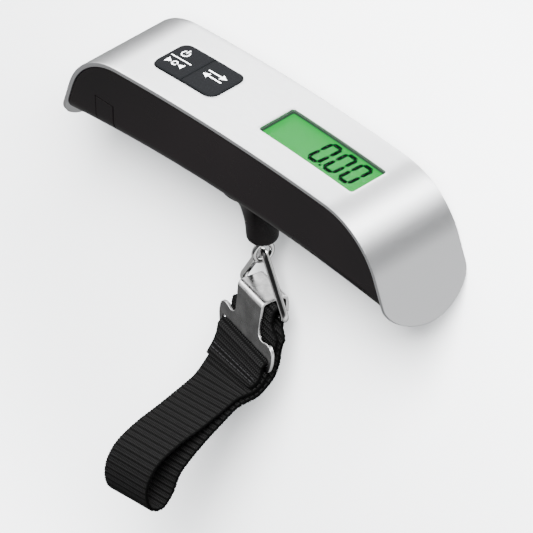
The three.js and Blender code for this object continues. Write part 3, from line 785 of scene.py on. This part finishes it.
def keypad():
    x0, x1 = KEYPAD[0] + KEY_GAP, KEYPAD[1] - KEY_GAP
    seam = 0.13
    outer, inner = 2.8, 0.45
    left_radii = [outer, inner, inner, outer]
    right_radii = [inner, outer, outer, inner]
    left = (x0, KEY_SEAM - seam, left_radii)
    right_side = (KEY_SEAM + seam, x1, right_radii)
    key_piece("power_key_cap", *left, "power_button", "power_plunger", "power_key")
    key_piece("unit_key_cap", *right_side, "unit_button", "unit_plunger", "unit_key")
    icon = (-33.4, 2.7)
    # A power sign over a line, with a zero between two triangles below it.
    power = [
        arc_strip(icon[0], icon[1], 1.25, 0.38, 125, 415),
        bar(icon[0] - 0.2, icon[1] + 0.3, icon[0] + 0.2, icon[1] + 1.9),
        bar(-36.4, -0.25, -28.2, 0.1),
        [(-35.6, -1.3), (-33.7, -2.45), (-35.6, -3.6)][::-1],
        arc_strip(-32.3, -2.45, 0.85, 0.42, 0, 340),
        [(-29.0, -1.3), (-29.0, -3.6), (-30.9, -2.45)][::-1],
    ]
    marks("power_key_mark", power, "power_key")
    # Two arrows that point opposite ways.
    unit = [
        bar(-22.7, 1.55, -17.4, 2.0),
        [(-17.5, 0.7), (-15.3, 1.8), (-17.5, 2.9)],
        bar(-20.9, -0.45, -15.6, 0.0),
        [(-20.8, -1.3), (-20.8, 0.9), (-23.0, -0.2)],
    ]
    marks("unit_key_mark", unit, "unit_key")


# ------------------------------------------------------------------ display
def display():
    x0, x1, half, radius = WINDOW
    loop = rounded_loop(on_arch(x0), on_arch(x1), -half, half, [radius] * 4)
    loop = resample(loop, 1.0)
    # Painted shade: a dark ring over the lower part of the window's walls, where shade falls inside the
    # recess.
    verts, faces = sheet(arch, shrink(loop, 0.04), [shrink(loop, 0.3)], 0.55, 1.45, 0.03, 0.6, 1)
    make("window_shade_liner", verts, faces, painted_window_shade, "case")
    middle = (x0 + x1) / 2
    angle = math.asin(middle / TOP_RADIUS)
    origin = np.array([middle, 0, TOP_RADIUS * math.cos(angle) - TOP_RADIUS])
    along = np.array([math.cos(angle), 0, -math.sin(angle)])
    up = np.array([math.sin(angle), 0, math.cos(angle)])

    def plane(s, w, depth):
        s, w, depth = (np.asarray(v, float)[..., None] for v in (s, w, depth))
        return origin + s * along + w * np.array([0, 1.0, 0]) - depth * up

    glass_length, glass_width = 19.4, 8.4
    glass_top, glass_bottom = 2.62, 4.2
    glass = rounded_loop(-glass_length, glass_length, -glass_width, glass_width, [0.3] * 4, 2)
    verts, faces = sheet(plane, resample(glass, 3), [], glass_top, glass_bottom, 0.1, 3, 2)
    make("lcd_panel", verts, faces, glow, "case", ["lcd_glass"], 40)
    height, width, stroke, slant = 8.9, 3.7, 1.25, 0.075
    pitch, gap = 6.15, 0.12
    left, low = 22.9 - middle, -2.9
    shapes = []

    def segment(x, y, dx, dy):
        """A six-sided bar of a digit, from (x, y) by (dx, dy)."""
        length = math.hypot(dx, dy)
        ux, uy = dx / length, dy / length
        nx, ny = -uy * stroke / 2, ux * stroke / 2
        tip = stroke * 0.45 + 0.1
        pts = [
            (x + ux * gap, y + uy * gap),
            (x + ux * tip - nx, y + uy * tip - ny),
            (x + dx - ux * tip - nx, y + dy - uy * tip - ny),
            (x + dx - ux * gap, y + dy - uy * gap),
            (x + dx - ux * tip + nx, y + dy - uy * tip + ny),
            (x + ux * tip + nx, y + uy * tip + ny),
        ]
        shapes.append([(px + slant * (py - low), py) for px, py in pts])

    for index in range(3):
        x = left + pitch * index
        half_height = height / 2
        segment(x, low, width, 0)
        segment(x, low + height, width, 0)
        for column in (x, x + width):
            segment(column, low, 0, half_height)
            segment(column, low + half_height, 0, half_height)
    shapes.append(bar(left + 4.55, low - 0.45, left + 5.3, low + 0.35))
    parts = []
    for shape in shapes:
        loop = resample(np.array(shape, float), 1.0)
        parts.append(sheet(plane, loop, [], glass_top - 0.06, glass_top + 0.02, 0.005, 2, 1))
    verts, faces = join(parts)
    make("lcd_segments", verts, faces, segment_black, "case")


# ------------------------------------------------------------------ eye and wire ring
def eye_piece():
    ring_radius, radial, axial = 2.95, 0.78, 0.85
    centre = np.array([0, 0, EYE_Z])
    verts, faces = [], []
    around, section = 48, 18
    for i in range(around):
        a = 2 * math.pi * i / around
        out = np.array([0, math.sin(a), math.cos(a)])
        for k in range(section):
            b = 2 * math.pi * k / section
            verts.append(
                centre
                + out * (ring_radius + radial * math.cos(b))
                + np.array([axial * math.sin(b), 0, 0])
            )
    for i in range(around):
        j = (i + 1) % around
        for k in range(section):
            m = (k + 1) % section
            faces.append([i * section + k, j * section + k, j * section + m, i * section + m])
    bottom = EYE_Z + ring_radius
    profile = [
        (0, bottom),
        (1.0, bottom),
        (1.55, bottom + 0.35),
        (1.9, bottom + 0.9),
        (1.95, bottom + 1.4),
        (1.95, EYE_TOP - 0.2),
        (1.75, EYE_TOP),
        (0, EYE_TOP),
    ]
    shank = lathe(profile, (0, 0), 36)
    verts, faces = join([(np.array(verts), faces), shank])
    make("eye", yawed(verts), faces, chrome, "eye", ["eye_bolt"], 40)


def ring_piece():
    bend = 3.0
    corners = [
        np.array([RING_HALF_BASE, 0, BAR_Z]),
        np.array([0, 0, RING_APEX_Z]),
        np.array([-RING_HALF_BASE, 0, BAR_Z]),
    ]
    path = []
    n = len(corners)
    for i, corner in enumerate(corners):
        before, after = corners[i - 1], corners[(i + 1) % n]
        enter = corner + (before - corner) / np.linalg.norm(before - corner) * bend
        leave = corner + (after - corner) / np.linalg.norm(after - corner) * bend
        for k in range(13):
            t = k / 12
            path.append((1 - t) ** 2 * enter + 2 * t * (1 - t) * corner + t * t * leave)
    path = resample(np.array(path), 0.8)
    verts, faces = tube(path, WIRE_RADIUS, 20)
    make("ring_wire", yawed(verts), faces, chrome, "ring", ["wire_ring"], 60)


# ------------------------------------------------------------------ hook plate
def plate_curve():
    """The folded sheet's outer side as (forward, z), from the foot of the front wall to the rear lip."""
    bend = 1.9
    bottom = PLATE_TOP - PLATE_HEIGHT

    def front_at(z):
        return PLATE_FRONT + (PLATE_TOP - z) * PLATE_TILT

    front_top = front_at(PLATE_TOP - bend) - bend
    rear = -4.2
    pts = [(front_at(bottom), bottom)]
    for k in range(13):
        a = math.pi / 2 * k / 12
        pts.append((front_top + bend * math.cos(a), PLATE_TOP - bend + bend * math.sin(a)))
    for k in range(13):
        a = math.pi / 2 + math.pi / 2 * k / 12
        pts.append((rear + bend + bend * math.cos(a), PLATE_TOP - bend + bend * math.sin(a)))
    pts.append((rear, -69.5))
    return even(np.array(pts), 0.1)


def bezier(p0, p1, p2, p3, steps=8):
    t = np.linspace(0, 1, steps + 1)[1:, None]
    p0, p1, p2, p3 = (np.array(p, float) for p in (p0, p1, p2, p3))
    return (1 - t) ** 3 * p0 + 3 * t * (1 - t) ** 2 * p1 + 3 * t * t * (1 - t) * p2 + t**3 * p3


def hook_piece():
    path, at = plate_curve()
    tangent = np.gradient(path, axis=0)
    tangent /= np.linalg.norm(tangent, axis=1)[:, None]
    normal = np.stack([tangent[:, 1], -tangent[:, 0]], 1)
    length = at[-1]

    def place(s, w, depth):
        s, w, depth = (np.asarray(v, float) for v in (s, w, depth))
        f = np.interp(s, at, path[:, 0])
        z = np.interp(s, at, path[:, 1])
        nf = np.interp(s, at, normal[:, 0])
        nz = np.interp(s, at, normal[:, 1])
        beyond = np.clip(s - length, 0, None)
        return np.stack([w, -(f - depth * nf), z - depth * nz - beyond], -1)

    slope = math.hypot(1, PLATE_TILT)

    def s_of(drop):
        return (PLATE_HEIGHT - drop) * slope

    outline = [np.array([s_of(19.6), 12.6])]
    # Control points as (drop below the top, distance from the middle), four to a curve.
    ear = [
        ((19.6, 12.6), (19.6, 13.4), (18.6, 13.9), (17.6, 14.2)),
        ((17.6, 14.2), (16.4, 14.6), (15, 14.7), (14, 14.6)),
        ((14, 14.6), (10.8, 14.6), (10.2, 11.6), (11.1, 9.9)),
        ((11.1, 9.9), (11.9, 8.5), (11.2, 6.5), (9, 6.35)),
        ((9, 6.35), (6, 6.4), (3, 6.6), (1, 6.7)),
    ]
    for curve in ear:
        outline.append(bezier(*[(s_of(drop), w) for drop, w in curve]))
    outline.append(np.array([(length - 1.2, 6.7)]))
    outline.append(bezier((length - 1.2, 6.7), (length - 0.5, 6.7), (length, 6.3), (length, 5.6)))
    right = np.concatenate([np.atleast_2d(o) for o in outline])
    left = right[::-1] * np.array([1, -1])
    outer = resample(np.concatenate([left, right])[::-1], 0.7)
    if (outer[:, 0] * np.roll(outer[:, 1], -1) - np.roll(outer[:, 0], -1) * outer[:, 1]).sum() < 0:
        outer = outer[::-1]
    slot = rounded_loop(s_of(17.6), s_of(15.4), -12.8, 12.8, [0.9] * 4, 5)
    verts, faces = sheet(place, outer, [resample(slot, 0.7)], 0.0, PLATE_THICKNESS, 0.22, 0.6, 3)
    make("hook", yawed(verts), faces, nickel, "strap_loop", ["hook_plate"], 50)


# ------------------------------------------------------------------ webbing
def smooth_step(v, low, high):
    t = np.clip((v - low) / (high - low), 0, 1)
    return t * t * (3 - 2 * t)


def roll_at(forward):
    """How far the band is rolled about its length, which grows away from the plate."""
    return STRAP_ROLL * smooth_step(forward, 8, 18)


def strap_centre():
    """Centre line of the webbing as (forward, z), from the end at the ring to the end in front."""
    wrap = 2.05
    pts = [(3.8, -77.2), (3.2, -74.0), (2.7, -71.2)]
    for deg in (-12, 25, 62, 100, 138, 175, 205):
        a = math.radians(deg)
        pts.append((wrap * math.cos(a), BAR_Z + wrap * math.sin(a)))
    pts += [
        (-0.9, -70.8),
        (0.6, -73.4),
        (1.8, -76.2),
        (2.4, -79),
        (3.0, -82),
        (5, -86.2),
        (9.9, -90.6),
        (19.4, -97.4),
        (28.4, -104),
        (35.6, -111),
        (38.4, -117.4),
        (41.8, -121.6),
        (45.4, -120.4),
        (46.8, -115.6),
        (45.8, -110),
        (42.2, -105),
        (35.5, -101),
        (28, -98),
        (19.0, -93.7),
        (12.2, -89.9),
        (8.6, -87.0),
        (6.6, -84.6),
    ]
    around = 1.72
    for deg in (238, 200, 160, 120, 80, 40, 5):
        a = math.radians(deg)
        pts.append((PLATE_BAR[0] + around * math.cos(a), PLATE_BAR[1] + around * math.sin(a)))
    pts += [(8.75, -83.4), (10.1, -85.9), (12.4, -88.0)]
    return even(catmull(pts, 12), 0.16)


def webbing_relief(at, x, u):
    """Height of the weave: ribs across the band, each of leaning yarns that form chevrons."""
    rib, yarn, lean_by = 1.9, 0.86, 0.62
    row = 2 * at[:, None] / rib + 0 * u[None]
    row_index = np.floor(row)
    row_at = row - row_index
    lean = np.where(row_index % 2 == 0, 1.0, -1.0)
    phase = x / yarn + lean * (row_at - 0.5) * lean_by
    loops = 0.5 + 0.5 * np.cos(2 * math.pi * phase)
    row_shape = np.sqrt(np.clip(1 - (2 * row_at - 1) ** 2, 0, 1))
    groove = np.abs(np.sin(math.pi * at[:, None] / rib)) ** 0.5
    relief = 0.4 * loops * (0.3 + 0.7 * row_shape) * groove + 0.08 * row_shape + 0.06 * groove - 0.2
    border = smooth_step(np.abs(u)[None] * STRAP_HALF, STRAP_HALF - 0.5, STRAP_HALF)
    return relief * (1 - border) - 0.3 * border


def band_faces(rows, cols):
    """Faces of two grids of points, one after the other, closed round their shared rim."""
    count = rows * cols
    faces = []
    for i in range(rows - 1):
        for j in range(cols - 1):
            a = i * cols + j
            faces.append([a, a + 1, a + cols + 1, a + cols])
            faces.append([count + a, count + a + cols, count + a + cols + 1, count + a + 1])
    rim = (
        [j for j in range(cols - 1)]
        + [i * cols + cols - 1 for i in range(rows - 1)]
        + [(rows - 1) * cols + j for j in range(cols - 1, 0, -1)]
        + [i * cols for i in range(rows - 1, 0, -1)]
    )
    for a, b in zip(rim, rim[1:] + rim[:1]):
        faces.append([a, a + count, b + count, b])
    return faces


def strap_piece():
    path, at = strap_centre()
    tangent = np.gradient(path, axis=0)
    tangent /= np.linalg.norm(tangent, axis=1)[:, None]
    normal = np.stack([-tangent[:, 1], tangent[:, 0]], 1)
    columns = 176
    u = np.linspace(-1, 1, columns + 1)
    near_ring = np.linalg.norm(path - np.array([0, BAR_Z]), axis=1)
    gathered = 8.6
    half = gathered + (STRAP_HALF - gathered) * smooth_step(near_ring, 3.2, 6.5)
    x = half[:, None] * u[None]
    relief = webbing_relief(at, x, u)
    sag = 0.12 * np.sin(at[:, None] / 7.0 + 1.1 * u[None]) * smooth_step(near_ring, 8, 20)[:, None]
    sheets = []
    for sign in (1, -1):
        offset = sign * (STRAP_THICKNESS / 2 - WEAVE_DEPTH + relief) + sag
        f = path[:, 0][:, None] + normal[:, 0][:, None] * offset
        z = path[:, 1][:, None] + normal[:, 1][:, None] * offset
        z = z + roll_at(f) * x
        sheets.append(np.stack([x, -f, z], -1))
    verts = np.concatenate([side.reshape(-1, 3) for side in sheets])
    faces = band_faces(*sheets[0].shape[:2])
    band = make("webbing", yawed(verts), faces, webbing, "strap_loop", ["strap"], 180)
    # The weave's height from groove to loop, kept on the band for the webbing material's painted shade
    # and highlight.
    span = relief.max() - relief.min()
    weave = band.data.attributes.new("weave", "FLOAT", "POINT")
    weave.data.foreach_set("value", np.tile((relief - relief.min()) / span, (2, 1)).ravel())
    stitches(path, at, normal)


def stitches(path, at, normal):
    """Two rows of short thread loops sunk into the webbing across its front end."""
    parts = []
    total = at[-1]
    for back in (2.0, 3.4):
        where = total - back
        f = np.interp(where, at, path[:, 0])
        z = np.interp(where, at, path[:, 1])
        nf = np.interp(where, at, normal[:, 0])
        nz = np.interp(where, at, normal[:, 1])
        for k in range(11):
            x0 = -11 + 2.05 * k
            pts = []
            for i in range(7):
                t = i / 6
                x = x0 + 1.5 * t
                rise = STRAP_THICKNESS / 2 + 0.2 + 0.16 * math.sin(math.pi * t) - WEAVE_DEPTH
                ff = f + nf * rise
                zz = z + nz * rise + float(roll_at(np.array(ff))) * x
                pts.append((x, -ff, zz))
            parts.append(tube(np.array(pts), 0.14, 8, (0, -nf, nz), closed=False))
    verts, faces = join(parts)
    make("stitching", yawed(verts), faces, thread, "strap_loop")


# ------------------------------------------------------------------ everything else in the frame
def shading_group():
    """Modifier nodes that join split corners and shade smoothly across every edge but the creases."""
    group = bpy.data.node_groups.new("smooth_by_angle", "GeometryNodeTree")
    for direction in ("INPUT", "OUTPUT"):
        group.interface.new_socket("Geometry", in_out=direction, socket_type="NodeSocketGeometry")
    new = group.nodes.new
    weld = new("GeometryNodeMergeByDistance")
    weld.inputs["Distance"].default_value = 1e-6
    plain = new("GeometryNodeRemoveAttribute")
    plain.inputs["Name"].default_value = "custom_normal"
    faces = new("GeometryNodeSetShadeSmooth")
    faces.domain = "FACE"
    edges = new("GeometryNodeSetShadeSmooth")
    edges.domain = "EDGE"
    below = new("FunctionNodeCompare")
    below.operation = "LESS_EQUAL"
    below.inputs["B"].default_value = CREASE
    angle = new("GeometryNodeInputMeshEdgeAngle")
    chain = [new("NodeGroupInput"), weld, plain, faces, edges, new("NodeGroupOutput")]
    for before, after in zip(chain, chain[1:]):
        group.links.new(before.outputs["Geometry"], after.inputs["Geometry"])
    group.links.new(angle.outputs["Unsigned Angle"], below.inputs["A"])
    group.links.new(below.outputs["Result"], edges.inputs["Shade Smooth"])
    return group


def dress(node, mat, shading):
    """Gives a CAD piece its material and shading. Its own mesh stays as it came."""
    ob = nodes[node]
    for part in ob.material_slots:
        part.link = "OBJECT"
        part.material = mat
    ob.modifiers.new("shading", "NODES").node_group = shading


def inner_pieces():
    fixed = {
        "lcd_lens": lens,
        "lcd_frame": white_plastic,
        "lcd_backlight": white_plastic,
        "lcd_connector": rubber,
        "main_pcb": board,
        "controller_chip": epoxy,
        "load_cell": alloy,
        "strain_gauge": gold,
        "battery": steel,
        "battery_holder": epoxy,
        "battery_contact_pos": gold,
        "battery_contact_neg": gold,
        "power_switch": epoxy,
        "unit_switch": epoxy,
        "power_plunger": red_plastic,
        "unit_plunger": red_plastic,
        "eye_washer": steel,
        "eye_nut": steel,
    }
    for node, colour in wire_colours.items():
        fixed[node] = material(f"sleeve_{node}", colour, 0.5)
    for node in nodes:
        if "screw" in node:
            fixed[node] = steel
    shading = shading_group()
    for node, mat in fixed.items():
        dress(node, mat, shading)


lens = lens_material()
glow = glow_material()

cover_piece()
refined("body_shell", "tray", black)
refined("battery_door", "door_panel", black)
keypad()
display()
eye_piece()
ring_piece()
hook_piece()
strap_piece()
inner_pieces()


# ------------------------------------------------------------------ floor, light and camera
AZIMUTH, ELEVATION, ROLL = math.radians(48.4), math.radians(37.92), math.radians(-1.45)
FLOOR_FADE = (0.10, 0.24)
DISTANCE = 1.822
# Width of the view at the object, and where its middle lies from the origin, in metres.
VIEW_WIDTH = 0.147498
AIM_RIGHT, AIM_DOWN = 0.001985, 0.04398
SENSOR = 36
back = Vector(
    (
        math.sin(AZIMUTH) * math.cos(ELEVATION),
        -math.cos(AZIMUTH) * math.cos(ELEVATION),
        math.sin(ELEVATION),
    )
)
level = Vector((math.cos(AZIMUTH), math.sin(AZIMUTH), 0))
upright = back.cross(level)
right = level * math.cos(ROLL) + upright * math.sin(ROLL)
up = upright * math.cos(ROLL) - level * math.sin(ROLL)


def camera():
    data = bpy.data.cameras.new("camera")
    data.sensor_width = SENSOR
    data.lens = SENSOR * DISTANCE / VIEW_WIDTH
    data.clip_start, data.clip_end = 0.05, 20
    ob = bpy.data.objects.new("camera", data)
    scene.collection.objects.link(ob)
    turn = Matrix((right, up, back)).transposed().to_4x4()
    ob.matrix_world = Matrix.Translation(right * AIM_RIGHT - up * AIM_DOWN + back * DISTANCE) @ turn
    scene.camera = ob


def area(name, direction, distance, size, power, target=Vector((0, 0, -0.04))):
    data = bpy.data.lights.new(name, "AREA")
    data.shape = "RECTANGLE"
    data.size, data.size_y = size
    data.energy = power
    ob = bpy.data.objects.new(name, data)
    scene.collection.objects.link(ob)
    direction = Vector(direction).normalized()
    ob.location = target + direction * distance
    ob.rotation_mode = "QUATERNION"
    ob.rotation_quaternion = direction.to_track_quat("Z", "Y")
    ob.visible_glossy = False


def world():
    """An even surround for matt surfaces, a plain backdrop, and soft bands for the metal to mirror."""
    surround = bpy.data.worlds.new("surround")
    scene.world = surround
    surround.use_nodes = True
    tree = surround.node_tree
    tree.nodes.clear()
    out = add(tree, "OutputWorld")
    coords = add(tree, "TexCoord")
    split = add(tree, "SeparateXYZ")
    angle = add(tree, "Math", operation="ARCTAN2")
    span = add(tree, "MapRange", {"From Min": -math.pi, "From Max": math.pi})
    ramp = add(tree, "ValToRGB")
    # Direction of the mirrored ray in degrees from straight up towards +x, and the brightness there.
    stops = [
        (-180, 0.3),
        (-138, 0.3),
        (-118, 0.36),
        (-100, 0.42),
        (-86, 0.6),
        (-74, 0.85),
        (-60, 2.8),
        (-47, 7.2),
        (-36, 4.6),
        (-24, 1.9),
        (-10, 1.7),
        (4, 3.6),
        (20, 10.5),
        (32, 4.2),
        (46, 0.8),
        (60, 0.34),
        (78, 0.5),
        (98, 1.25),
        (140, 0.6),
        (180, 0.3),
    ]
    brightest = max(value for _, value in stops)
    set_stops(ramp, [((deg + 180) / 360, value / brightest) for deg, value in stops])
    shaped = add(tree, "Background", {"Strength": brightest})
    plain = add(tree, "Background", {"Color": (0.855, 0.871, 0.888, 1), "Strength": 6.2})
    even = add(tree, "Background", {"Color": (0.97, 0.985, 1.0, 1), "Strength": 0.7})
    path = add(tree, "LightPath")
    soft = add(tree, "MixShader")
    mix = add(tree, "MixShader")
    links = tree.links
    links.new(coords.outputs["Generated"], split.inputs[0])
    links.new(split.outputs["X"], angle.inputs[0])
    links.new(split.outputs["Z"], angle.inputs[1])
    links.new(angle.outputs[0], span.inputs["Value"])
    links.new(span.outputs["Result"], ramp.inputs["Fac"])
    links.new(ramp.outputs["Color"], shaped.inputs["Color"])
    links.new(path.outputs["Is Camera Ray"], mix.inputs[0])
    links.new(path.outputs["Is Glossy Ray"], soft.inputs[0])
    links.new(even.outputs[0], soft.inputs[1])
    links.new(shaped.outputs[0], soft.inputs[2])
    links.new(soft.outputs[0], mix.inputs[1])
    links.new(plain.outputs[0], mix.inputs[2])
    links.new(mix.outputs[0], out.inputs["Surface"])


def floor():
    """A pale sheet behind and under the object, which fades into the backdrop away from it."""
    normal = Vector((0.0, -1.0, 0.08)).normalized()
    nearest = 1e9
    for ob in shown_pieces():
        for v in ob.data.vertices:
            nearest = min(nearest, v.co.dot(normal))
    gap = 0.0005
    point = normal * (nearest - gap)
    size = 1.2
    corners = [(-size, -size, 0), (size, -size, 0), (size, size, 0), (-size, size, 0)]
    mesh = bpy.data.meshes.new("floor")
    mesh.from_pydata(corners, [], [(0, 1, 2, 3)])
    ob = bpy.data.objects.new("floor", mesh)
    scene.collection.objects.link(ob)
    ob.rotation_mode = "QUATERNION"
    ob.rotation_quaternion = normal.to_track_quat("Z", "Y")
    middle = Vector((0, 0, -0.05))
    ob.location = middle - normal * ((middle - point).dot(normal))
    mat = bpy.data.materials.new("floor_paper")
    mat.use_nodes = True
    tree = mat.node_tree
    tree.nodes.clear()
    out = add(tree, "OutputMaterial")
    diffuse = add(tree, "BsdfDiffuse", {"Color": (0.83, 0.84, 0.85, 1)})
    clear = add(tree, "BsdfTransparent")
    mix = add(tree, "MixShader")
    shape = add(tree, "NewGeometry")
    coords = add(tree, "TexCoord")
    reach = add(tree, "VectorMath", operation="LENGTH")
    start, end = FLOOR_FADE
    fading = {"From Min": start, "From Max": end, "To Min": 1, "To Max": 0}
    fade = add(tree, "MapRange", fading, interpolation_type="SMOOTHSTEP")
    front = add(tree, "Math", {0: 1}, operation="SUBTRACT")
    both = add(tree, "Math", operation="MULTIPLY")
    links = tree.links
    links.new(coords.outputs["Object"], reach.inputs[0])
    links.new(reach.outputs["Value"], fade.inputs["Value"])
    links.new(shape.outputs["Backfacing"], front.inputs[1])
    links.new(front.outputs[0], both.inputs[0])
    links.new(fade.outputs["Result"], both.inputs[1])
    links.new(both.outputs[0], mix.inputs[0])
    links.new(clear.outputs[0], mix.inputs[1])
    links.new(diffuse.outputs[0], mix.inputs[2])
    links.new(mix.outputs[0], out.inputs["Surface"])
    mesh.materials.append(mat)
    ob.visible_glossy = False
    ob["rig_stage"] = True


camera()
world()
floor()
area("key_light", (0.6, -0.5, 1.0), 1.0, (0.44, 0.44), 128)
area("fill_light", (0.25, -0.75, 0.6), 0.9, (0.6, 0.6), 4)
